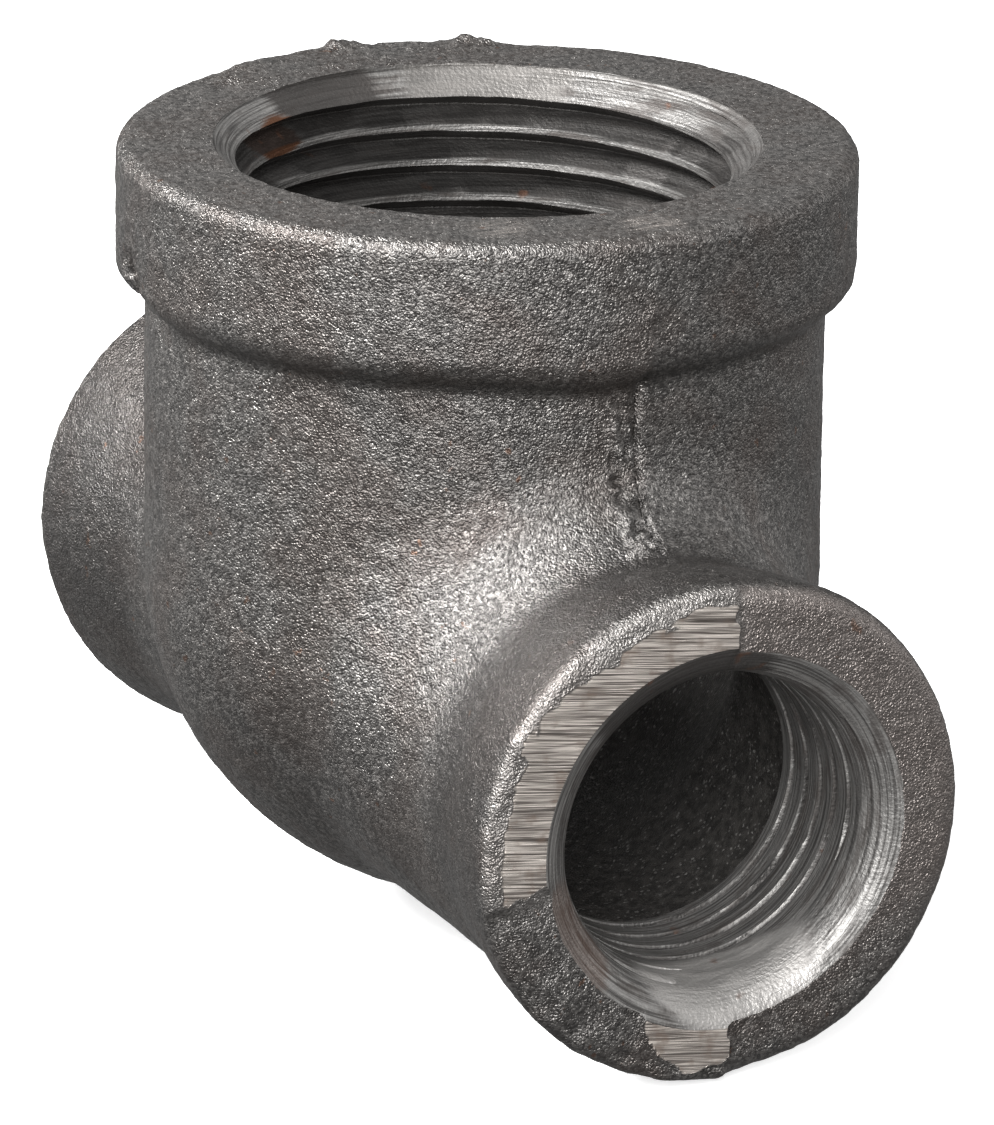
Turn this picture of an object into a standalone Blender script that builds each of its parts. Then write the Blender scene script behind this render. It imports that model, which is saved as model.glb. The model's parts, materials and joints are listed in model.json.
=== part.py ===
"""Reducing tee, a threaded pipe fitting cast in one piece of malleable iron.

A large female port stands on top of a round-bottomed cup. Two smaller female ports, in line
with each other, leave the foot of the cup along X. Each port has a raised band round its mouth
and a tapered pipe thread inside, and the three bores meet in one hollow.

Lengths are in metres and +Z is up. The origin is under the branch axis, at the level of the
lowest points of the two run bands, so the fitting rests on Z = 0.
"""

import math

import bmesh
import bpy

MM = 0.001

# Driving dimensions: the outside of the casting
BRANCH_REACH = 32.8 * MM  # run axis to the branch face
RUN_REACH = 35.2 * MM  # branch axis to each run face
BRANCH_BAND_RADIUS = 22.5 * MM
BRANCH_BAND_WIDTH = 8.9 * MM
RUN_BAND_RADIUS = 15.4 * MM
RUN_BAND_WIDTH = 6.0 * MM
RUN_BAND_SLOPE = 2.6 * MM  # length over which a run band runs out onto the barrel
CUP_RADIUS = 20.8 * MM
CUP_CENTRE = 6.3 * MM  # height of the cup's ball end above the run axis
BARREL_RADIUS = 14.5 * MM
BAND_EDGE_RADIUS = 1.4 * MM
RUN_AXIS_HEIGHT = RUN_BAND_RADIUS

# Driving dimensions: the cored hollow
CHAMBER_RADIUS = 17.4 * MM
RUN_CORE_RADIUS = 10.9 * MM
CORE_SHOULDER = 0.3  # part of the radius that the shoulder up to a thread takes

# Driving dimensions: tapered pipe threads, 1 inch on the branch and 1/2 inch on the run
TAPER = 1 / 32  # loss of radius for each unit of depth
BRANCH_THREAD = {
    "pitch": 2.209 * MM,
    "crest_radius": 14.85 * MM,
    "depth": 1.70 * MM,
    "length": 17.0 * MM,
    "chamfer_radius": 16.65 * MM,
    "chamfer_depth": 1.5 * MM,
    "steps": 26,
}
RUN_THREAD = {
    "pitch": 1.814 * MM,
    "crest_radius": 9.16 * MM,
    "depth": 1.38 * MM,
    "length": 13.5 * MM,
    "chamfer_radius": 11.4 * MM,
    "chamfer_depth": 2.2 * MM,
    "steps": 20,
}
THREAD_FLANK = math.radians(30)
CREST_FLAT = 0.06  # part of the pitch left between two turns of the groove

# How finely the shapes are cut
BODY_STEPS = 48
CORE_STEPS = 32
BALL_STEPS = 9
EDGE_STEPS = 3
BLEND_VOXEL = 1.0 * MM
BLEND_PASSES = 14
BLEND_TRIANGLES_KEPT = 0.10
OVERCUT = 2.0 * MM  # how far a cutter stands out of the face it opens
SINK = 0.35 * MM  # how far a groove's inner side lies inside the bore already cut

GROOVE_START = math.radians(6.1)  # keeps a groove's edges off the edges of its bore

TURN_TO_FACE = {"up": 0.0, "plus_x": math.pi / 2, "minus_x": -math.pi / 2}


def clear_scene():
    for item in list(bpy.data.objects):
        bpy.data.objects.remove(item, do_unlink=True)


def new_collection(name):
    collection = bpy.data.collections.new(name)
    bpy.context.scene.collection.children.link(collection)
    return collection


def arc(centre, radius, start, end, steps):
    """Points (radius from the axis, height) round a centre, from one angle to another in degrees."""
    points = []
    for step in range(steps + 1):
        angle = math.radians(start + (end - start) * step / steps)
        points.append((centre[0] + radius * math.cos(angle), centre[1] + radius * math.sin(angle)))
    return points


def as_tool(item):
    """Marks an object as a shape that only joins or cuts another."""
    item.hide_render = True
    item.display_type = "WIRE"


def place(item, collection, facing):
    """Puts an object that was drawn about +Z on the run axis, facing up or along the run."""
    item.location = (0, 0, RUN_AXIS_HEIGHT)
    item.rotation_euler = (0, TURN_TO_FACE[facing], 0)
    collection.objects.link(item)


def turned(name, outline, steps, collection, facing="up", start=0.0):
    """A solid of revolution; its outline runs from the axis at the top, down the outer side.

    start, in degrees, is where round the axis the first facet begins. Shapes that meet get
    different starts, so that no edge of one lies along an edge of the other.
    """
    mesh = bpy.data.meshes.new(name)
    edges = [(i, i + 1) for i in range(len(outline) - 1)]
    across, along = math.cos(math.radians(start)), math.sin(math.radians(start))
    mesh.from_pydata([(r * across, r * along, height) for r, height in outline], edges, [])
    item = bpy.data.objects.new(name, mesh)
    screw = item.modifiers.new("Turn", "SCREW")
    screw.steps = steps
    screw.render_steps = steps
    screw.use_merge_vertices = True
    screw.merge_threshold = 0.00001
    place(item, collection, facing)
    return item


def cup(collection):
    """The upright cup under the branch, as a cylinder that ends in a ball."""
    top = BRANCH_REACH - BAND_EDGE_RADIUS
    outline = [(0, top), (CUP_RADIUS, top)]
    outline += arc((0, CUP_CENTRE), CUP_RADIUS, 0, -90, BALL_STEPS)[:-1]
    outline.append((0, CUP_CENTRE - CUP_RADIUS))
    return turned("reducing_tee_body", outline, BODY_STEPS, collection)


def barrel(collection):
    """The straight barrel through the foot of the cup."""
    half = RUN_REACH - BAND_EDGE_RADIUS
    outline = [(0, half), (BARREL_RADIUS, half), (BARREL_RADIUS, -half), (0, -half)]
    return turned("barrel_blank", outline, BODY_STEPS, collection, "plus_x", 2.1)


def branch_band(collection):
    """The raised band round the branch mouth, square to the cup below it."""
    top = BRANCH_REACH
    foot = BRANCH_REACH - BRANCH_BAND_WIDTH
    inner = BRANCH_BAND_RADIUS - BAND_EDGE_RADIUS
    outline = [(0, top)]
    outline += arc((inner, top - BAND_EDGE_RADIUS), BAND_EDGE_RADIUS, 90, 0, EDGE_STEPS)
    outline += arc((inner, foot + BAND_EDGE_RADIUS), BAND_EDGE_RADIUS, 0, -90, EDGE_STEPS)
    outline.append((0, foot))
    return turned("branch_band_blank", outline, BODY_STEPS, collection, "up", 1.3)


def run_band(facing, collection):
    """The band round a run mouth, which slopes down onto the barrel behind it."""
    top = RUN_REACH
    foot = RUN_REACH - RUN_BAND_WIDTH
    inner = RUN_BAND_RADIUS - BAND_EDGE_RADIUS
    low = BARREL_RADIUS - 2 * SINK
    outline = [(0, top)]
    outline += arc((inner, top - BAND_EDGE_RADIUS), BAND_EDGE_RADIUS, 90, 0, EDGE_STEPS)
    outline += [(RUN_BAND_RADIUS, foot), (low, foot - RUN_BAND_SLOPE), (0, foot - RUN_BAND_SLOPE)]
    return turned("run_band_blank_" + facing, outline, BODY_STEPS, collection, facing, 3.7)


def core(collection):
    """The hollow of the cup, with a shoulder up to the end of the branch thread."""
    foot = BRANCH_REACH - BRANCH_THREAD["length"]
    rise = CORE_SHOULDER * CHAMBER_RADIUS
    outline = [(0, foot + rise), (CHAMBER_RADIUS - rise, foot + rise), (CHAMBER_RADIUS, foot)]
    outline += arc((0, CUP_CENTRE), CHAMBER_RADIUS, 0, -90, BALL_STEPS)[:-1]
    outline.append((0, CUP_CENTRE - CHAMBER_RADIUS))
    return turned("cup_core", outline, CORE_STEPS, collection, "up", 2.9)


def run_core(collection):
    """The cored passage from the cup to the inner ends of the two run threads."""
    half = RUN_REACH - RUN_THREAD["length"]
    rise = CORE_SHOULDER * RUN_CORE_RADIUS
    neck = RUN_CORE_RADIUS - rise
    outline = [(0, half + rise), (neck, half + rise), (RUN_CORE_RADIUS, half)]
    outline += [(RUN_CORE_RADIUS, -half), (neck, -half - rise), (0, -half - rise)]
    return turned("run_core", outline, CORE_STEPS, collection, "plus_x", 5.3)


def bore(name, thread, reach, facing, collection):
    """The chamfer and the tapered bore that the thread's crests lie on."""
    outside = reach + OVERCUT
    foot = reach - thread["length"] - OVERCUT
    chamfer_foot = thread["crest_radius"] - TAPER * thread["chamfer_depth"]
    outline = [(0, outside), (thread["chamfer_radius"], outside), (thread["chamfer_radius"], reach)]
    outline.append((chamfer_foot, reach - thread["chamfer_depth"]))
    outline += [(thread["crest_radius"] - TAPER * (reach - foot), foot), (0, foot)]
    return turned(name, outline, thread["steps"], collection, facing, 1.7)


def groove(name, thread, reach, facing, collection):
    """The thread's helical groove: a V section swept up the bore and drawn in by the taper."""
    pitch = thread["pitch"]
    turns = math.ceil(thread["length"] / pitch)
    half_mouth = pitch * (1 - CREST_FLAT) / 2
    half_root = half_mouth - thread["depth"] * math.tan(THREAD_FLANK)
    inner = thread["crest_radius"] - SINK
    outer = thread["crest_radius"] + thread["depth"]
    section = [(inner, -half_mouth), (outer, -half_root), (outer, half_root), (inner, half_mouth)]
    mesh = bpy.data.meshes.new(name)
    across, along = math.cos(GROOVE_START), math.sin(GROOVE_START)
    points = [(r * across, r * along, z) for r, z in section]
    mesh.from_pydata(points, [(0, 1), (1, 2), (2, 3), (3, 0)], [])
    sweep = bpy.data.objects.new(name, mesh)
    collection.objects.link(sweep)
    screw = sweep.modifiers.new("Sweep", "SCREW")
    screw.steps = thread["steps"]
    screw.render_steps = thread["steps"]
    screw.iterations = turns
    screw.screw_offset = pitch
    swept = bpy.data.meshes.new_from_object(sweep.evaluated_get(bpy.context.evaluated_depsgraph_get()))
    bpy.data.objects.remove(sweep)

    shape = bmesh.new()
    shape.from_mesh(swept)
    open_edges = [edge for edge in shape.edges if edge.is_boundary]
    bmesh.ops.holes_fill(shape, edges=open_edges, sides=4)
    foot = reach - thread["length"]
    for vertex in shape.verts:
        vertex.co.z += foot + pitch / 2
        shrink = 1 - TAPER * (reach - vertex.co.z) / thread["crest_radius"]
        vertex.co.x *= shrink
        vertex.co.y *= shrink
    bmesh.ops.recalc_face_normals(shape, faces=shape.faces)
    shape.to_mesh(swept)
    shape.free()

    item = bpy.data.objects.new(name, swept)
    place(item, collection, facing)
    return item


def boolean(target, tool, operation):
    step = target.modifiers.new(operation.title() + " " + tool.name, "BOOLEAN")
    step.operation = operation
    step.solver = "EXACT"
    step.object = tool
    as_tool(tool)


def blend(target):
    """Rounds the joint between cup and barrel, as a cast fillet does."""
    remesh = target.modifiers.new("Even skin", "REMESH")
    remesh.mode = "VOXEL"
    remesh.voxel_size = BLEND_VOXEL
    remesh.use_smooth_shade = True
    smooth = target.modifiers.new("Cast fillet", "SMOOTH")
    smooth.factor = 0.5
    smooth.iterations = BLEND_PASSES
    thin = target.modifiers.new("Fewer faces", "DECIMATE")
    thin.ratio = BLEND_TRIANGLES_KEPT


def iron_material():
    material = bpy.data.materials.new("black_malleable_iron")
    material.use_nodes = True
    shader = material.node_tree.nodes["Principled BSDF"]
    shader.inputs["Base Color"].default_value = (0.085, 0.081, 0.078, 1)
    shader.inputs["Roughness"].default_value = 0.5
    shader.inputs["Metallic"].default_value = 0.75
    return material


def build():
    clear_scene()
    parts = new_collection("reducing_tee")
    tools = new_collection("reducing_tee_tools")

    body = cup(parts)
    boolean(body, barrel(tools), "UNION")
    blend(body)
    boolean(body, branch_band(tools), "UNION")
    for facing in ("plus_x", "minus_x"):
        boolean(body, run_band(facing, tools), "UNION")

    boolean(body, core(tools), "DIFFERENCE")
    boolean(body, run_core(tools), "DIFFERENCE")
    ports = [
        ("branch", BRANCH_THREAD, BRANCH_REACH, "up"),
        ("run_plus", RUN_THREAD, RUN_REACH, "plus_x"),
        ("run_minus", RUN_THREAD, RUN_REACH, "minus_x"),
    ]
    for name, thread, reach, facing in ports:
        boolean(body, bore(name + "_bore", thread, reach, facing, tools), "DIFFERENCE")
        boolean(body, groove(name + "_groove", thread, reach, facing, tools), "DIFFERENCE")
    body.data.materials.append(iron_material())


build()
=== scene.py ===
"""Looks of the reducing tee: the sand-cast skin, the cut threads, the studio and the camera.

The casting is described as a distance field in millimetres, in a frame whose origin is where
the branch axis crosses the run axis. It is meshed, given its sand grain, ground flat on its
mouths, and then the bores and the threads are cut into it.
"""

import json
import math

import bpy
import numpy as np
from mathutils import Matrix, Vector


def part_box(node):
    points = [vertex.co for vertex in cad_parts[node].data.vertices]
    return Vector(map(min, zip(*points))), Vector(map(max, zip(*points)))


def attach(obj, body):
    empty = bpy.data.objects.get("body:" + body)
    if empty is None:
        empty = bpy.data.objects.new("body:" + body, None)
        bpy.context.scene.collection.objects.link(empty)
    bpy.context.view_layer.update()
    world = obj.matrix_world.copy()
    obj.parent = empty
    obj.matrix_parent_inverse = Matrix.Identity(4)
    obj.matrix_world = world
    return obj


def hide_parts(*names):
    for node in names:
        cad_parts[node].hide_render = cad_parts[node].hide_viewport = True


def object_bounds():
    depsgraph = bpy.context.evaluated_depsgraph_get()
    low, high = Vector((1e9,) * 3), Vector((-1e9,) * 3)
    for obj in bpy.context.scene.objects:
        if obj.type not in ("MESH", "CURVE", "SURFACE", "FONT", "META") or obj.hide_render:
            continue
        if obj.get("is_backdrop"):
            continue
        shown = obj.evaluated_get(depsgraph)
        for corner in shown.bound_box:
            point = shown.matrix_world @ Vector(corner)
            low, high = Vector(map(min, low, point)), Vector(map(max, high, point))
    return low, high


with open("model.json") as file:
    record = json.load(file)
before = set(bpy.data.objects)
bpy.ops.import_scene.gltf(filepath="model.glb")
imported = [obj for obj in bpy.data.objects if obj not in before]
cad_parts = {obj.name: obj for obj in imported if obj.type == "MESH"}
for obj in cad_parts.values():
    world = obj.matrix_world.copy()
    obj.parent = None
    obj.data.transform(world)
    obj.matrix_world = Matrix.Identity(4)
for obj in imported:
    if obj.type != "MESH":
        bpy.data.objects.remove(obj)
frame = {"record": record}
cad_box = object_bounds()

MM = 0.001
NODE = "reducing_tee_body"
LOW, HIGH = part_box(NODE)
MOUNTS = {mount["name"]: mount for mount in frame["record"]["mounts"]}
AXIS_HEIGHT = MOUNTS["run_plus_face"]["pos_m"][2]  # metres: the run axis above the floor

# Outside of the casting, in millimetres
RUN_REACH = HIGH.x / MM
BRANCH_REACH = (HIGH.z - AXIS_HEIGHT) / MM
BRANCH_BAND_RADIUS = HIGH.y / MM
RUN_BAND_RADIUS = AXIS_HEIGHT / MM
BRANCH_BAND_FOOT = BRANCH_REACH - 8.9
CUP_RADIUS = 20.7
CUP_CENTRE = 6.3
BARREL_RADIUS = 13.85
BARREL_DROP = 0.3
RUN_BAND_WIDTH = 6.2
RUN_BAND_SLOPE = (4.4, 2.0)  # distance back along the run, and fall over it
RUN_FACE_EDGES = 0.75, 1.5  # edge radii of the proud half and of the other

# The cored hollow
CHAMBER_RADIUS = 17.4
RUN_CORE_RADIUS = 10.9

# Tapered pipe threads
TAPER = 1 / 32  # of the radius
# crest: radius across the crests at the face. lead: radius and depth of the mouth's smooth
# cone. flat: part of a turn left at the crest. wear: 1 where the first turns are worn away.
BRANCH_THREAD = {
    "pitch": 2.209, "crest": 14.85, "depth": 1.55, "length": 17.0, "reach": BRANCH_REACH,
    "mouth": 16.65, "chamfer": 1.5, "lead": (14.8, 1.6),
    "flat": 0.16, "phase": -1.3, "wear": 0.0, "centre": (0.0, 0.0, 0.0),
}
RUN_THREAD = {
    "pitch": 1.814, "crest": 9.55, "depth": 0.42, "length": 13.0, "reach": RUN_REACH,
    "mouth": 11.8, "chamfer": 1.4, "lead": (10.0, 2.9),
    "flat": 0.70, "phase": 0.1, "wear": 1.0,
    "centre": (0.0, 0.35, -0.25),  # the tap ran a little off the casting's own centre
}
FLANK = math.radians(30)  # of the thread, from square to the axis
WORN_SIDE = math.radians(30)  # where the first turns are worn away, in the frame of the tool

# The mould, whose halves part near the plane y = SEAM
SEAM = 0.7
PROUD, SHY = 0.16, -0.27  # run faces as cast, beyond or short of their ground plane
VOXEL = 0.25  # step of the grid that the casting is sampled on

CAST, CORED, CUT_BRANCH, CUT_RUN = range(4)  # material slots of the casting


# ---------------------------------------------------------------- fields and noise

def lattice_noise(points, size, seed):
    """Smooth noise from -1 to 1 at points in millimetres; size is the width of one bump."""
    side = 48
    table = np.random.default_rng(seed).uniform(-1, 1, (side, side, side)).astype(np.float32)
    scaled = points / size
    cell = np.floor(scaled).astype(np.int32)
    part = (scaled - cell).astype(np.float32)
    part = part * part * (3 - 2 * part)
    total = np.zeros(len(points), np.float32)
    for corner in np.ndindex(2, 2, 2):
        weight = np.prod([part[:, a] if corner[a] else 1 - part[:, a] for a in range(3)], axis=0)
        index = [(cell[:, a] + corner[a]) % side for a in range(3)]
        total += weight * table[index[0], index[1], index[2]]
    return total


def round_join(a, b, fillet):
    """Union of two fields with a circular fillet."""
    inner = np.hypot(np.maximum(fillet - a, 0), np.maximum(fillet - b, 0))
    return np.maximum(fillet, np.minimum(a, b)) - inner


def round_meet(a, b, edge):
    """Intersection of two fields with a rounded edge."""
    return -round_join(-a, -b, edge)


def ramp(value, low, high):
    """Smooth step from 0 at low to 1 at high."""
    part = np.clip((value - low) / (high - low), 0, 1)
    return part * part * (3 - 2 * part)


def plane_noise(y, z, size, seed):
    """Noise over a grid of y and z, with the shape that y and z broadcast to."""
    y, z = np.broadcast_arrays(y, z)
    points = np.stack([y.ravel(), z.ravel(), np.full(y.size, 0.37 * seed)], axis=-1)
    return lattice_noise(points, size, seed).reshape(y.shape)


def parting_line(a, b, seed=20):
    """y of the parting line, which wavers with the two coordinates given."""
    return SEAM + 0.15 * plane_noise(a, b, 3.0, seed) + 0.22 * plane_noise(a, b, 0.9, seed + 1)


def run_face_rise(y, z, seed):
    """How far a run face as cast stands beyond its ground plane.

    The half of the mould at low y left its face proud, so the grinder flattened it, except for
    one arc low on that side and a strip along its outer edge. The other half is short of the
    plane and keeps its cast skin.
    """
    around = np.degrees(np.arctan2(SEAM - y, z)) + 6 * plane_noise(y, z, 2.2, seed)
    low_arc = ramp(around, 97, 104) * ramp(-around, -158, -153)
    radius = np.hypot(y, z) + 0.5 * plane_noise(y, z, 1.5, seed + 3)
    upper_arc = ramp(-np.abs(around - 30), -26, -8)
    unground_strip = ramp(radius, 13.9, 14.5) + 0.9 * ramp(radius, 12.6, 13.6) * upper_arc
    rise = PROUD + 0.10 * plane_noise(y, z, 1.7, seed + 1) + 0.08 * plane_noise(y, z, 0.6, seed + 2)
    rise = rise - 0.36 * low_arc - 0.22 * unground_strip
    return np.where(y > parting_line(z, z, seed), SHY, rise)


def cup_field(x, y, z, radius, centre):
    """A cylinder about Z above the height of its centre, and a half ball below it."""
    around = np.hypot(x, y)
    return np.where(z > centre, around - radius, np.hypot(around, z - centre) - radius)


def run_band_field(x, y, z):
    """Both run bands at once; only their faces differ."""
    reach = np.abs(x)
    around = np.hypot(y, z)
    rise = np.where(x > 0, run_face_rise(y, z, 31), run_face_rise(y, z, 41))
    front = reach - (RUN_REACH + rise)
    swell = 0.35 * ramp(y, 2, 9)  # the half beyond the seam is a little larger
    side = around - RUN_BAND_RADIUS - swell
    edge = np.where(y > SEAM, RUN_FACE_EDGES[1], RUN_FACE_EDGES[0])
    back, fall = RUN_BAND_SLOPE
    length = math.hypot(back, fall)
    start = RUN_REACH - RUN_BAND_WIDTH
    rear = (-fall * (reach - start) + back * (around - RUN_BAND_RADIUS)) / length
    band = round_meet(front, side, edge)
    return round_meet(band, rear, 2.5)


def draft(y):
    """How far the half of the mould beyond the seam falls back beside it."""
    past = np.maximum(y - SEAM, 0)
    return 0.30 * (1 - np.exp(-past / 3)) * np.exp(-past / 12)


def outer_field(x, y, z):
    """The outside of the casting: cup, barrel and the three bands."""
    run_band = run_band_field(x, y, z)
    x = x + np.sign(x) * draft(y)
    around_z = np.hypot(x, y)
    low = z + BARREL_DROP
    around_x = np.hypot(y, low)
    cup = np.maximum(cup_field(x, y, z, CUP_RADIUS, CUP_CENTRE), z - (BRANCH_REACH - 2))
    barrel = np.maximum(around_x - BARREL_RADIUS, np.abs(x) - (RUN_REACH - 2))
    drop = np.minimum(z - CUP_CENTRE, 0)
    reach = np.hypot(around_z, drop)
    same_way = (y * y + low * drop) / np.maximum(reach * around_x, 1e-3)
    fillet = 6.0 * ramp(1 - same_way, 0.03, 0.35) + 0.01
    body = round_join(cup, barrel, fillet)

    flash = 0.2 * ramp(-x, 13, 19) * ramp(-np.abs(y), -11, -6)
    top = z - (BRANCH_REACH + 0.1 + flash)
    side = around_z - BRANCH_BAND_RADIUS
    sag = 0.4 * ramp(-y, -SEAM, 0.4 - SEAM) * ramp(y, -10, -2) * ramp(x, 5, 12)
    foot = BRANCH_BAND_FOOT - sag - z
    band = round_meet(round_meet(top, side, 0.85), foot, 1.9)
    body = round_join(body, band, 0.9)
    return round_join(body, run_band, 0.8)


def hollow_field(x, y, z):
    """The cored hollow, which ends short of the mouths."""
    roof = BRANCH_REACH - BRANCH_THREAD["length"]
    cup = cup_field(x, y, z, CHAMBER_RADIUS, CUP_CENTRE)
    shoulder = (z - roof) * 0.8 + (np.hypot(x, y) - CHAMBER_RADIUS) * 0.6
    cup = round_meet(cup, np.maximum(shoulder, z - roof - 4), 1.0)
    ends = np.abs(x) - (RUN_REACH - RUN_THREAD["length"] + 1)
    passage = np.maximum(np.hypot(y, z) - RUN_CORE_RADIUS, ends)
    return round_join(cup, passage, 1.2)


def casting_field(x, y, z):
    return np.maximum(outer_field(x, y, z), -hollow_field(x, y, z))


def surface_net(field, low, step):
    """Vertices and quads of the surface where a field sampled on a grid is zero."""
    inside = field < 0
    cut = [slice(None, -1), slice(1, None)]
    corners = [inside[cut[i], cut[j], cut[k]] for i, j, k in np.ndindex(2, 2, 2)]
    mixed = np.logical_or.reduce(corners) & ~np.logical_and.reduce(corners)
    cells = np.argwhere(mixed)
    number = np.full(mixed.shape, -1, np.int32)
    number[mixed] = np.arange(len(cells), dtype=np.int32)

    total = np.zeros((len(cells), 3))
    count = np.zeros(len(cells))
    for axis in range(3):
        for i, j in np.ndindex(2, 2):
            start = np.insert(np.array([i, j]), axis, 0)
            end = np.insert(np.array([i, j]), axis, 1)
            a = field[tuple((cells + start).T)]
            b = field[tuple((cells + end).T)]
            crosses = (a < 0) != (b < 0)
            part = np.where(crosses, a / np.where(crosses, a - b, 1), 0)
            at = np.tile(start.astype(float), (len(cells), 1))
            at[:, axis] += part
            total += at * crosses[:, None]
            count += crosses
    points = low + (cells + total / count[:, None]) * step

    quads = []
    for axis in range(3):
        u, v = (axis + 1) % 3, (axis + 2) % 3
        ahead = np.take(inside, range(1, inside.shape[axis]), axis)
        behind = np.take(inside, range(inside.shape[axis] - 1), axis)
        at = np.argwhere(ahead != behind)
        at = at[(at[:, u] > 0) & (at[:, v] > 0)]
        ring = []
        for du, dv in ((1, 1), (0, 1), (0, 0), (1, 0)):
            cell = at.copy()
            cell[:, u] -= du
            cell[:, v] -= dv
            ring.append(number[tuple(cell.T)])
        ring = np.stack(ring, axis=1)
        outward = behind[tuple(at.T)]
        quads.append(np.where(outward[:, None], ring, ring[:, ::-1]))
    return points, np.concatenate(quads)


def grid_axis(low, high):
    """Places along one axis of the sampling grid."""
    return np.arange(low, high + VOXEL, VOXEL)


def vertex_normals(points, quads):
    """Outward directions at the points, from the diagonals of the quads around each."""
    corners = points[quads]
    facing = np.cross(corners[:, 2] - corners[:, 0], corners[:, 3] - corners[:, 1])
    normals = np.zeros_like(points)
    for k in range(4):
        np.add.at(normals, quads[:, k], facing)
    return normals / np.maximum(np.linalg.norm(normals, axis=1, keepdims=True), 1e-12)


# ---------------------------------------------------------------- meshes

def mesh_object(name, points, faces):
    """A mesh object from points in millimetres about the run axis, placed in the row frame."""
    mesh = bpy.data.meshes.new(name)
    size = len(faces[0])
    mesh.vertices.add(len(points))
    placed = points * MM + np.array([0, 0, AXIS_HEIGHT])
    mesh.vertices.foreach_set("co", placed.astype(np.float32).ravel())
    faces = np.asarray(faces, np.int32)
    mesh.loops.add(faces.size)
    mesh.loops.foreach_set("vertex_index", faces.ravel())
    mesh.polygons.add(len(faces))
    mesh.polygons.foreach_set("loop_start", np.arange(0, faces.size, size, dtype=np.int32))
    mesh.update(calc_edges=True)
    mesh.validate()
    item = bpy.data.objects.new(name, mesh)
    bpy.context.scene.collection.objects.link(item)
    return item


def near(points, centre, radius):
    """1 at a centre, falling away over a radius."""
    return np.exp(-((points - centre) ** 2).sum(axis=1) / radius ** 2)


# Centre, radius, height and how much of the lumps' roughness is added; chips are below 0
BURRS_AND_CHIPS = (
    ((24.3, -0.4, 13.8), 1.0, 0.4, 0.3),
    ((-22.0, -0.2, 32.4), 1.1, 0.30, 0.4),
    ((-19.8, 7.8, 32.6), 1.2, 0.35, 0.4),
    ((-17.9, -9.3, 32.6), 0.9, 0.30, 0.4),
    ((33.2, 1.0, -15.4), 1.0, 0.30, 0.3),
    ((34.8, -13.2, 7.2), 0.8, 0.25, 0.2),
    ((-2.5, -22.3, 24.2), 1.9, -0.7, -0.8),
    ((-3.5, -22.4, 26.6), 1.4, -0.2, -0.6),
)


def flash_and_chips(points):
    """Rise of the skin where metal ran into the parting line, and where the casting is chipped."""
    x, y, z = points.T
    beside = y - parting_line(x, z)
    lumps = np.maximum(lattice_noise(points, 0.8, 22), 0) + 0.6 * lattice_noise(points, 0.45, 23)
    cup_front = ramp(x, 16, 19) * ramp(-x, -25.5, -24.0) * ramp(-z, -24.5, -23.0) * ramp(z, 12, 13)
    growing = ramp(-z, -21.5, -17)
    rough = np.exp(-((beside + 1.05) / 0.7) ** 2) * (0.35 + 0.65 * growing) * cup_front
    rise = (0.5 * lumps + 0.6 * lattice_noise(points, 0.45, 25)) * rough
    rise -= 0.50 * np.exp(-(beside / 0.17) ** 2) * cup_front
    rise += 0.12 * lumps * np.exp(-(beside / 0.5) ** 2) * (1 - cup_front)

    rough_rim = ramp(-x, 14, 18) * ramp(z, 31.2, 32.4) * ramp(-np.abs(y + 0.5), -11, -8)
    rise += (0.12 * lattice_noise(points, 1.3, 24) + 0.10 * lumps) * rough_rim
    for centre, radius, height, roughness in BURRS_AND_CHIPS:
        rise += (height + roughness * lumps) * near(points, centre, radius)
    return rise


# Height, width of one bump and seed of each layer of the sand's unevenness, coarse to fine
SAND = (0.06, 9.0, 11), (0.03, 3.1, 12), (0.025, 1.1, 13), (0.022, 0.62, 14), (0.03, 0.4, 15)


def sand_cast(points, normals):
    """Moves the skin in and out by its sand grain and by its flash and chips."""
    rise = sum(height * lattice_noise(points, size, seed) for height, size, seed in SAND)
    rise += flash_and_chips(points)
    return points + normals * rise[:, None]


def grind(points):
    """Grinds the run mouths flat where the casting stands proud of them."""
    points = points.copy()
    for side in (1, -1):
        proud = side * points[:, 0] > RUN_REACH
        points[proud, 0] = side * RUN_REACH
    return points


def casting():
    """The casting before it is bored: two material slots, for its skin and its cored wall."""
    margin, top_margin = 1.2, 1.6
    x = grid_axis(-RUN_REACH - margin, RUN_REACH + margin)[:, None, None]
    y = grid_axis(-BRANCH_BAND_RADIUS - margin, BRANCH_BAND_RADIUS + margin)[None, :, None]
    z = grid_axis(-RUN_BAND_RADIUS - margin, BRANCH_REACH + top_margin)[None, None, :]
    field = casting_field(x, y, z).astype(np.float32)
    low = np.array([x.min(), y.min(), z.min()])
    points, quads = surface_net(field, low, VOXEL)
    cored = np.abs(hollow_field(*points.T)) < 0.1
    points = sand_cast(points, vertex_normals(points, quads))
    points = grind(points)
    body = mesh_object("tee_casting", points, quads)
    slots = np.where(cored[quads].all(axis=1), CORED, CAST)
    body.data.polygons.foreach_set("material_index", slots.astype(np.int32))
    return body


def frame_of_port(facing):
    """The turn that makes a shape drawn about +Z face up or along the run."""
    quarters = {"up": 0, "plus": 1, "minus": -1}[facing]
    return Matrix.Rotation(quarters * math.pi / 2, 3, "Y")


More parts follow.
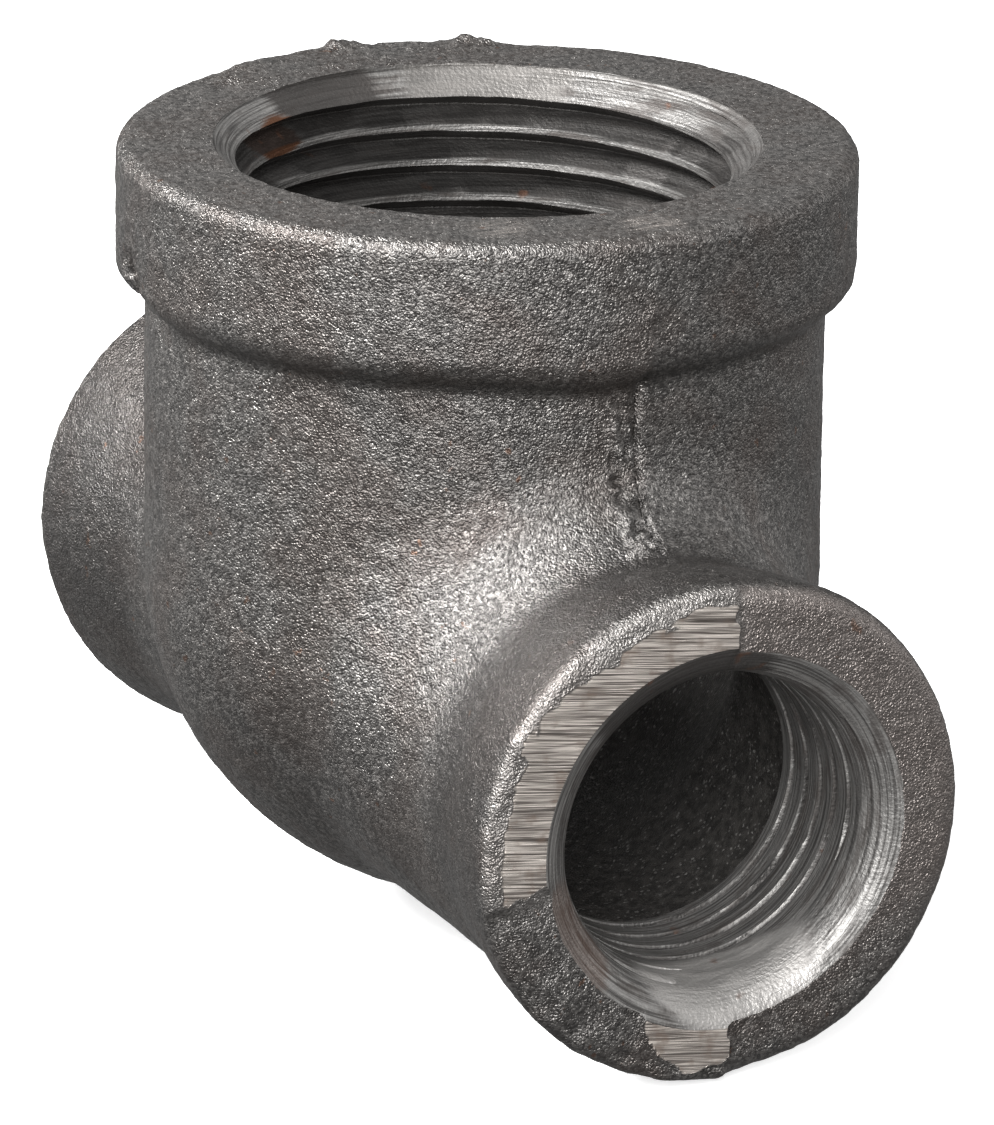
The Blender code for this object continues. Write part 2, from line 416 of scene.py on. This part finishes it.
def lathe(outline, steps):
    """Points and faces of a closed solid of revolution; the outline starts and ends on the axis."""
    ring = np.arange(steps) * 2 * math.pi / steps
    radii = np.array([r for r, _ in outline[1:-1]])
    heights = np.array([h for _, h in outline[1:-1]])
    points = np.stack([radii[:, None] * np.cos(ring), radii[:, None] * np.sin(ring),
                       np.repeat(heights[:, None], steps, 1)], axis=-1).reshape(-1, 3)
    top, bottom = len(points), len(points) + 1
    points = np.vstack([points, [0, 0, outline[0][1]], [0, 0, outline[-1][1]]])
    faces = []
    for k in range(steps):
        after = (k + 1) % steps
        faces.append((top, k, after))
        last = (len(radii) - 1) * steps
        faces.append((bottom, last + after, last + k))
        for level in range(len(radii) - 1):
            a, b = level * steps, (level + 1) * steps
            faces.append((a + k, b + k, b + after))
            faces.append((a + k, b + after, a + after))
    return points, faces


def bore_tool(thread):
    """The chamfered, tapered bore."""
    reach, depth = thread["reach"], thread["chamfer"]
    foot = reach - thread["length"] - 3
    crest = thread["crest"]
    lead_radius, lead_depth = thread["lead"]
    outline = [(0, reach + 3), (thread["mouth"], reach + 3), (thread["mouth"], reach)]
    outline += [(lead_radius, reach - depth), (crest - TAPER * lead_depth, reach - lead_depth)]
    outline += [(crest - TAPER * (reach - foot), foot), (0, foot)]
    return lathe(outline, 256)


def groove_tool(thread):
    """The helical groove, with its ends closed."""
    pitch, steps = thread["pitch"], 128
    turns = math.ceil(thread["length"] / pitch) + 0.5
    count = int(turns * steps)
    mouth = pitch * (1 - thread["flat"]) / 2
    root = max(mouth - thread["depth"] * math.tan(FLANK), 0.04)
    inner, outer = -0.35, thread["depth"]
    section = [(inner, -mouth), (0.0, -mouth), (outer, -root),
               (outer, root), (0.0, mouth), (inner, mouth)]
    angle = thread["phase"] + np.arange(count + 1) * 2 * math.pi / steps
    height = thread["reach"] - thread["length"] + np.arange(count + 1) * pitch / steps
    crest = thread["crest"] - TAPER * (thread["reach"] - height)
    path = np.stack([crest * np.cos(angle), crest * np.sin(angle), height], -1)
    ragged = 0.10 * lattice_noise(path, 2.4, 51) + 0.06 * lattice_noise(path, 0.5, 52)
    first_turns = ramp(height, thread["reach"] - 6.0, thread["reach"] - 3.5)
    worn = ramp(np.cos(angle - WORN_SIDE), 0.60, 0.90) * first_turns
    sunk = (outer + 0.1) * worn * thread["wear"] + ragged
    points = []
    for out, along in section:
        radius = crest + out - sunk
        points.append(np.stack([radius * np.cos(angle), radius * np.sin(angle), height + along], -1))
    size = len(section)
    points = np.stack(points, axis=1).reshape(-1, 3)
    faces = []
    for k in range(count):
        for s in range(size):
            a, b = k * size + s, k * size + (s + 1) % size
            faces.append((a, a + size, b + size))
            faces.append((a, b + size, b))
    for s in range(1, size - 1):
        faces.append((0, s, s + 1))
        last = count * size
        faces.append((last, last + s + 1, last + s))
    return points, faces


def signed_volume(points, faces):
    """Below 0 where the faces point inwards."""
    corners = points[np.asarray(faces)]
    return np.einsum("ij,ij->i", corners[:, 0], np.cross(corners[:, 1], corners[:, 2])).sum() / 6


def cut(target, shape, facing, centre, slot):
    """Cuts a tool out of the casting; the new faces take the material slot given."""
    points, faces = shape
    if signed_volume(points, faces) < 0:
        faces = [face[::-1] for face in faces]
    turned = points @ np.array(frame_of_port(facing)).T + np.array(centre)
    tool = mesh_object("tool", turned, faces)
    for material in target.data.materials:
        tool.data.materials.append(material)
    slots = np.full(len(tool.data.polygons), slot, np.int32)
    tool.data.polygons.foreach_set("material_index", slots)
    step = target.modifiers.new("Cut", "BOOLEAN")
    step.operation = "DIFFERENCE"
    step.solver = "MANIFOLD"
    step.object = tool
    bpy.context.view_layer.update()
    evaluated = target.evaluated_get(bpy.context.evaluated_depsgraph_get())
    after = bpy.data.meshes.new_from_object(evaluated)
    target.modifiers.clear()
    target.data = after
    bpy.data.objects.remove(tool)


def casting_with_threads():
    """The whole fitting, in its four material slots."""
    body = casting()
    for material in (cast_material(), core_material(),
                     machined_material("cut_branch", BRANCH_THREAD, "Z", BRANCH_STAINS),
                     machined_material("cut_run", RUN_THREAD, "X", RUN_STAINS_AND_SHADE)):
        body.data.materials.append(material)
    ports = ((BRANCH_THREAD, "up", CUT_BRANCH), (RUN_THREAD, "plus", CUT_RUN),
             (RUN_THREAD, "minus", CUT_RUN))
    for thread, facing, slot in ports:
        cut(body, bore_tool(thread), facing, thread["centre"], slot)
        cut(body, groove_tool(thread), facing, thread["centre"], slot)
    body.data.shade_smooth()
    body.data.set_sharp_from_angle(angle=math.radians(50))
    return body


# ---------------------------------------------------------------- materials

RIM_SCUFFS = (17.5, -7.0, BRANCH_REACH), (19.8, 1.7, BRANCH_REACH)
SCORE_ANGLE = math.radians(7)  # the grinder crossed the run faces a little off level

# Tones of the stains in the mouths and of the painted shade at the top of the run mouths, and each
# patch's place, radius, tone and strength
DIRT_AND_SHADE_TONE = 0.060, 0.055, 0.052
BRIGHT = 0.44, 0.425, 0.41
RUBBED = 0.21, 0.20, 0.19
BROWN = 0.120, 0.055, 0.030
BRANCH_STAINS = (
    ((-15.3, -4.5, 32.2), 4.8, DIRT_AND_SHADE_TONE, 0.9), ((-14.8, 6.5, 32.2), 6.0, RUBBED, 0.85),
    ((-12.3, -8.6, 30.6), 2.8, BROWN, 1.0), ((6.0, 14.8, 32.0), 9.0, DIRT_AND_SHADE_TONE, 0.55),
)
RUN_STAINS_AND_SHADE = (
    ((32.8, 1.5, -10.0), 6.5, BRIGHT, 0.8), ((34.4, -9.5, -5.5), 4.0, BROWN, 0.35),
    # painted shade on the upper chamfer and threads of the run mouths
    ((34.4, -3.0, 10.8), 7.0, DIRT_AND_SHADE_TONE, 0.8),
)


class Surface:
    """A node material. Its helpers take numbers or sockets and return sockets, in millimetres."""

    def __init__(self, name, metallic):
        self.material = bpy.data.materials.new(name)
        self.material.use_nodes = True
        self.nodes = self.material.node_tree.nodes
        self.links = self.material.node_tree.links
        self.shader = self.nodes["Principled BSDF"]
        self.shader.inputs["Metallic"].default_value = metallic
        place = self.nodes.new("ShaderNodeTexCoord").outputs["Object"]
        self.place = self.vector("MULTIPLY_ADD", place, (1 / MM,) * 3, (0, 0, -AXIS_HEIGHT / MM))
        split = self.nodes.new("ShaderNodeSeparateXYZ")
        self.links.new(self.place, split.inputs[0])
        self.x, self.y, self.z = split.outputs

    def feed(self, socket, value):
        if isinstance(value, bpy.types.NodeSocket):
            self.links.new(value, socket)
        else:
            socket.default_value = value

    def node(self, kind, operation, values):
        node = self.nodes.new(kind)
        node.operation = operation
        for socket, value in zip(node.inputs, values):
            self.feed(socket, value)
        return node

    def vector(self, operation, *values):
        return self.node("ShaderNodeVectorMath", operation, values).outputs["Vector"]

    def math(self, operation, *values):
        return self.node("ShaderNodeMath", operation, values).outputs[0]

    def length(self, vector):
        return self.node("ShaderNodeVectorMath", "LENGTH", [vector]).outputs["Value"]

    def ramp(self, value, low, high, start=0.0, end=1.0):
        """Smooth step from start at low to end at high."""
        node = self.nodes.new("ShaderNodeMapRange")
        node.interpolation_type = "SMOOTHSTEP"
        self.feed(node.inputs["Value"], value)
        node.inputs["From Min"].default_value = low
        node.inputs["From Max"].default_value = high
        node.inputs["To Min"].default_value = start
        node.inputs["To Max"].default_value = end
        return node.outputs["Result"]

    def mix(self, part, a, b):
        """Colour a where part is 0 and b where it is 1."""
        node = self.nodes.new("ShaderNodeMix")
        node.data_type = "RGBA"
        self.feed(node.inputs["Factor"], part)
        for socket, value in (("A", a), ("B", b)):
            if not isinstance(value, bpy.types.NodeSocket):
                value = (*value, 1)
            self.feed([i for i in node.inputs if i.name == socket and i.type == "RGBA"][0], value)
        return [o for o in node.outputs if o.type == "RGBA"][0]

    def blend(self, part, a, b):
        """Number a where part is 0 and b where it is 1."""
        gain = self.math("SUBTRACT", b, a)
        return self.math("MULTIPLY_ADD", part, gain, a)

    def noise(self, size, seed, detail=2.0, roughness=0.5, place=None):
        """Noise about 0.5; size is one width in millimetres, or one for each axis."""
        sizes = size if isinstance(size, tuple) else (size,) * 3
        node = self.nodes.new("ShaderNodeTexNoise")
        node.inputs["Scale"].default_value = 1.0
        node.inputs["Detail"].default_value = detail
        node.inputs["Roughness"].default_value = roughness
        shift = (seed * 7.3,) * 3
        scaled = self.vector("MULTIPLY_ADD", place or self.place, [1 / s for s in sizes], shift)
        self.links.new(scaled, node.inputs["Vector"])
        return node.outputs["Fac"]

    def turn(self, vector, angle):
        """A vector turned about the X axis."""
        node = self.nodes.new("ShaderNodeVectorRotate")
        node.rotation_type = "X_AXIS"
        node.inputs["Angle"].default_value = angle
        self.links.new(vector, node.inputs["Vector"])
        return node.outputs["Vector"]

    def grains(self, size):
        """Rounded grains: how far a place is from the middle of its grain, and a tint for each."""
        node = self.nodes.new("ShaderNodeTexVoronoi")
        node.inputs["Scale"].default_value = 1 / size
        self.links.new(self.place, node.inputs["Vector"])
        tint = self.nodes.new("ShaderNodeSeparateXYZ")
        self.links.new(node.outputs["Color"], tint.inputs[0])
        return node.outputs["Distance"], tint.outputs[0]

    def finish(self, colour, roughness, height):
        """Wires the shader and returns the material; height is in millimetres."""
        bump = self.nodes.new("ShaderNodeBump")
        bump.inputs["Distance"].default_value = MM
        self.links.new(height, bump.inputs["Height"])
        self.links.new(bump.outputs["Normal"], self.shader.inputs["Normal"])
        self.links.new(colour, self.shader.inputs["Base Color"])
        self.links.new(roughness, self.shader.inputs["Roughness"])
        return self.material


def cast_look(surface):
    """Sand-cast skin: fine bright grains, crumbs, darker patches and a few rust specks, with painted
    light on the run faces and on the branch band's top, a painted highlight on the run faces' edges and
    painted shade on the run necks.
    """
    rim, tint = surface.grains(0.18)
    grain = surface.noise(0.12, 1, detail=1)
    clumps = surface.noise(0.45, 2, detail=2)
    crumbs = surface.noise(1.2, 3)
    patches = surface.noise(6.0, 4, detail=3)
    colour = surface.mix(surface.ramp(tint, 0.2, 1.0), (0.085, 0.081, 0.078), (0.215, 0.205, 0.196))
    colour = surface.mix(surface.ramp(clumps, 0.35, 0.60, 0.35, 0.0), colour, (0.045, 0.042, 0.040))
    colour = surface.mix(surface.ramp(patches, 0.40, 0.62, 0.0, 0.35), colour, (0.100, 0.078, 0.068))
    reach = surface.math("ABSOLUTE", surface.x)
    # painted light from above: the as-cast half of each run face is painted paler, fading out towards
    # the bottom
    run_face_painted_light = surface.ramp(surface.y, SEAM, SEAM + 0.5)
    run_face_painted_light = surface.math("MULTIPLY", run_face_painted_light, surface.ramp(surface.z, -11, -2))
    face = surface.ramp(reach, RUN_REACH - 1.2, RUN_REACH - 0.5, 0.0, 0.7)
    colour = surface.mix(surface.math("MULTIPLY", run_face_painted_light, face), colour, (0.205, 0.180, 0.168))
    # painted light on the flat top face of the branch band, in speckles
    top_face_painted_light = surface.ramp(surface.z, BRANCH_REACH - 0.15, BRANCH_REACH + 0.05, 0.0, 0.7)
    speckle = surface.ramp(surface.noise(0.28, 17, detail=2), 0.42, 0.62)
    colour = surface.mix(surface.math("MULTIPLY", top_face_painted_light, speckle), colour, (0.25, 0.238, 0.228))
    rubs = surface.ramp(surface.noise((0.12, 2.5, 1.0), 18, detail=1), 0.42, 0.60)
    for centre in RIM_SCUFFS:
        away = surface.length(surface.vector("SUBTRACT", surface.place, centre))
        scuffed = surface.math("MULTIPLY", rubs, surface.ramp(away, 2.6, 0.8, 0.0, 0.8))
        colour = surface.mix(scuffed, colour, (0.44, 0.40, 0.37))
    # painted highlight along the rounded outer edge of the ground half of each run face, on its upper
    # part
    corner = surface.ramp(reach, RUN_REACH - 0.7, RUN_REACH - 0.4)
    corner = surface.math("MULTIPLY", corner, surface.ramp(surface.z, -5, -1))
    near_half = surface.ramp(surface.y, SEAM + 1.5, SEAM - 0.5, 0.0, 0.35)
    corner = surface.math("MULTIPLY", corner, near_half)
    colour = surface.mix(corner, colour, (0.33, 0.31, 0.295))
    # painted shade on the upper side of each run neck, between the body and the band
    neck_painted_shade = surface.ramp(reach, 34.6, 33.8, 0.0, 0.55)
    neck_painted_shade = surface.math("MULTIPLY", surface.ramp(reach, 22.5, 25.5), neck_painted_shade)
    neck_painted_shade = surface.math("MULTIPLY", neck_painted_shade, surface.ramp(surface.z, -9, -3))
    colour = surface.mix(neck_painted_shade, colour, (0.050, 0.046, 0.044))
    specks = surface.ramp(surface.noise(0.9, 5, detail=2), 0.68, 0.74, 0.0, 0.75)
    where = surface.ramp(surface.noise(6.0, 6, detail=1), 0.50, 0.58)
    rust = surface.math("MULTIPLY", specks, where)
    colour = surface.mix(rust, colour, (0.135, 0.080, 0.056))
    roughness = surface.ramp(surface.noise(0.6, 7), 0.35, 0.65, 0.30, 0.45)
    height = surface.math("MULTIPLY_ADD", grain, 0.10, surface.math("MULTIPLY", clumps, 0.06))
    height = surface.math("MULTIPLY_ADD", rim, -0.05, height)
    height = surface.math("MULTIPLY_ADD", crumbs, 0.06, height)
    return colour, roughness, height


def ground_look(surface):
    """Iron ground across the face: pale, in fine scores, with dirt and brown stain left in them."""
    slant = surface.turn(surface.place, SCORE_ANGLE)
    scores = surface.noise((1.0, 4.0, 0.042), 8, detail=1.5, roughness=0.6, place=slant)
    bands = surface.noise((1.0, 6.0, 0.45), 9, detail=2)
    stain = surface.noise(1.6, 10, detail=3)
    deep = surface.noise((1.0, 9.0, 0.13), 16, detail=1, place=slant)
    colour = surface.mix(surface.ramp(scores, 0.42, 0.55), (0.17, 0.148, 0.132), (1.0, 0.91, 0.83))
    colour = surface.mix(surface.ramp(deep, 0.34, 0.42, 0.8, 0.0), colour, (0.065, 0.056, 0.050))
    colour = surface.mix(surface.ramp(bands, 0.45, 0.65, 0.0, 0.45), colour, (0.19, 0.165, 0.15))
    colour = surface.mix(surface.ramp(stain, 0.52, 0.68, 0.0, 0.5), colour, (0.24, 0.17, 0.13))
    roughness = surface.ramp(scores, 0.35, 0.60, 0.50, 0.34)
    height = surface.math("MULTIPLY_ADD", deep, 0.05, surface.math("MULTIPLY", scores, 0.05))
    return colour, roughness, height


def cast_material():
    """The cast skin, and ground iron wherever the casting reaches a ground run face."""
    surface = Surface("cast_skin", 0.85)
    cast, ground = cast_look(surface), ground_look(surface)
    reach = surface.math("ABSOLUTE", surface.x)
    flat = surface.ramp(reach, RUN_REACH - 0.03, RUN_REACH - 0.005)
    colour = surface.mix(flat, cast[0], ground[0])
    roughness, height = (surface.blend(flat, cast[k], ground[k]) for k in (1, 2))
    return surface.finish(colour, roughness, height)


def machined_material(name, thread, axis, patches):
    """Cut iron with rings from the tool, painted shade down the thread flanks below the crests, and
    stains.

    Each patch is a place, a radius, a colour and how much of the colour shows there.
    """
    surface = Surface(name, 0.85)
    place = surface.vector("SUBTRACT", surface.place, thread["centre"])
    along = surface.math("ABSOLUTE", surface.x) if axis == "X" else surface.z

    def by_axis(lengthwise, across):
        """A number for each coordinate: one along the port's axis, one for the other two."""
        return (lengthwise, across, across) if axis == "X" else (across, across, lengthwise)

    radius = surface.length(surface.vector("MULTIPLY", place, by_axis(0, 1)))
    rings = surface.noise(by_axis(0.10, 8.0), 11, detail=3, roughness=0.65)
    stains = surface.noise(by_axis(0.8, 3.5), 12, detail=4, roughness=0.6)
    colour = surface.mix(surface.ramp(rings, 0.36, 0.62), (0.085, 0.081, 0.078), (0.30, 0.292, 0.282))
    colour = surface.mix(surface.ramp(stains, 0.50, 0.64, 0.0, 0.6), colour, (0.065, 0.055, 0.050))

    broken = surface.math("MULTIPLY_ADD", rings, 0.4, surface.math("MULTIPLY", stains, 0.6))
    for centre, size, tone, most in patches:
        gap = surface.vector("SUBTRACT", surface.place, centre)
        away = surface.length(surface.vector("MULTIPLY", gap, by_axis(2, 1)))
        edge = surface.math("MULTIPLY_ADD", broken, 0.8 * size, away)
        colour = surface.mix(surface.ramp(edge, 1.4 * size, 1.2 * size, 0.0, most), colour, tone)

    crest = thread["crest"] - TAPER * thread["reach"]
    depth = surface.math("SUBTRACT", surface.math("MULTIPLY_ADD", along, -TAPER, radius), crest)
    start = thread["reach"] - thread["lead"][1]
    inside = surface.ramp(along, start + 0.3, start)
    # painted shade, growing from the crests down the flanks to the roots of the thread, below the
    # smooth lead
    thread_painted_shade = surface.math("MULTIPLY", inside, surface.ramp(depth, 0.03, 0.22, 0.0, 0.82))
    colour = surface.mix(thread_painted_shade, colour, (0.045, 0.042, 0.040))

    rust = surface.ramp(surface.noise(3.0, 13, detail=3), 0.68, 0.74, 0.0, 0.7)
    colour = surface.mix(rust, colour, (0.16, 0.08, 0.05))
    roughness = surface.ramp(stains, 0.40, 0.65, 0.50, 0.68)
    height = surface.math("MULTIPLY", rings, 0.03)
    height = surface.math("MULTIPLY_ADD", surface.noise(0.22, 14, detail=2), 0.06, height)
    return surface.finish(colour, roughness, height)


def core_material():
    """The wall left by the sand core: almost black, with a few grains that catch the light."""
    surface = Surface("cored_wall", 0.5)
    rim, tint = surface.grains(0.15)
    clumps = surface.noise(0.6, 15)
    colour = surface.mix(surface.ramp(clumps, 0.35, 0.65), (0.030, 0.028, 0.026), (0.060, 0.056, 0.052))
    colour = surface.mix(surface.ramp(tint, 0.93, 1.0, 0.0, 0.8), colour, (0.26, 0.25, 0.24))
    roughness = surface.ramp(tint, 0.5, 1.0, 0.50, 0.32)
    height = surface.math("MULTIPLY_ADD", rim, -0.05, surface.math("MULTIPLY", clumps, 0.08))
    return surface.finish(colour, roughness, height)


# ---------------------------------------------------------------- studio

AZIMUTH, ELEVATION, ROLL = math.radians(65.69), math.radians(18.57), math.radians(0.87)
DISTANCE = 0.600
TARGET = Vector((0.00039, 0.00086, 0.00591 + AXIS_HEIGHT))
LENS = 354.3
FLASH_UNDERNEATH = 0.0005  # metres that a lump of flash reaches below the lowest band


def view_axes():
    """The camera's right, up and back directions."""
    back = Vector((math.sin(AZIMUTH) * math.cos(ELEVATION), -math.cos(AZIMUTH) * math.cos(ELEVATION),
                   math.sin(ELEVATION)))
    right = Vector((math.cos(AZIMUTH), math.sin(AZIMUTH), 0))
    up = back.cross(right)
    turned_right = right * math.cos(ROLL) + up * math.sin(ROLL)
    turned_up = up * math.cos(ROLL) - right * math.sin(ROLL)
    return turned_right, turned_up, back


def camera():
    """A long lens with no shift and no depth of field."""
    right, up, back = view_axes()
    data = bpy.data.cameras.new("camera")
    data.sensor_fit = "HORIZONTAL"
    data.lens = LENS
    data.clip_end = 10
    item = bpy.data.objects.new("camera", data)
    turn = Matrix((right, up, back)).transposed().to_4x4()
    item.matrix_world = Matrix.Translation(TARGET + back * DISTANCE) @ turn
    bpy.context.scene.collection.objects.link(item)
    bpy.context.scene.camera = item


def softbox(name, direction, distance, size, power):
    """An area light that looks at the middle of the object."""
    centre = (LOW + HIGH) / 2
    data = bpy.data.lights.new(name, "AREA")
    data.shape = "RECTANGLE"
    data.size, data.size_y = size
    data.energy = power
    item = bpy.data.objects.new(name, data)
    item.location = centre + Vector(direction).normalized() * distance
    item.rotation_euler = (centre - item.location).to_track_quat("-Z", "Y").to_euler()
    bpy.context.scene.collection.objects.link(item)


def lights():
    softbox("key", (-0.20, -0.80, 0.76), 0.45, (0.18, 0.18), 5.7)
    softbox("front", (0.85, -0.50, 0.50), 0.60, (0.35, 0.35), 6.5)
    softbox("far_fill", (0.10, 0.90, 0.35), 0.70, (0.50, 0.50), 1.8)
    softbox("rim", (-0.94, -0.67, 0.02), 0.50, (0.06, 0.40), 0.25)
    world = bpy.data.worlds.new("studio")
    world.use_nodes = True
    world.node_tree.nodes["Background"].inputs["Color"].default_value = (1, 1, 1, 1)
    world.node_tree.nodes["Background"].inputs["Strength"].default_value = 0.25
    bpy.context.scene.world = world


def floor():
    """A pale floor just below the lowest lump, which throws no colour back at the casting."""
    mesh = bpy.data.meshes.new("floor")
    half = 3.0
    corners = [(-half, -half, 0), (half, -half, 0), (half, half, 0), (-half, half, 0)]
    mesh.from_pydata(corners, [], [(0, 1, 2, 3)])
    item = bpy.data.objects.new("floor", mesh)
    item.location.z = LOW.z - FLASH_UNDERNEATH
    item.visible_diffuse = False
    item.visible_glossy = False
    bpy.context.scene.collection.objects.link(item)
    paper = bpy.data.materials.new("pale_floor")
    paper.use_nodes = True
    shader = paper.node_tree.nodes["Principled BSDF"]
    shader.inputs["Base Color"].default_value = (0.85, 0.85, 0.85, 1)
    shader.inputs["Roughness"].default_value = 0.9
    shader.inputs["Emission Color"].default_value = (1, 1, 1, 1)
    shader.inputs["Emission Strength"].default_value = 0.6
    mesh.materials.append(paper)
    item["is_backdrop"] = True


bpy.context.scene.view_settings.view_transform = "Standard"
camera()
lights()
floor()
tee = casting_with_threads()
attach(tee, "root")
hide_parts(NODE)

boxes = {"cad": cad_box, "visual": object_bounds()}
{name: [list(corner) for corner in box] for name, box in boxes.items()}
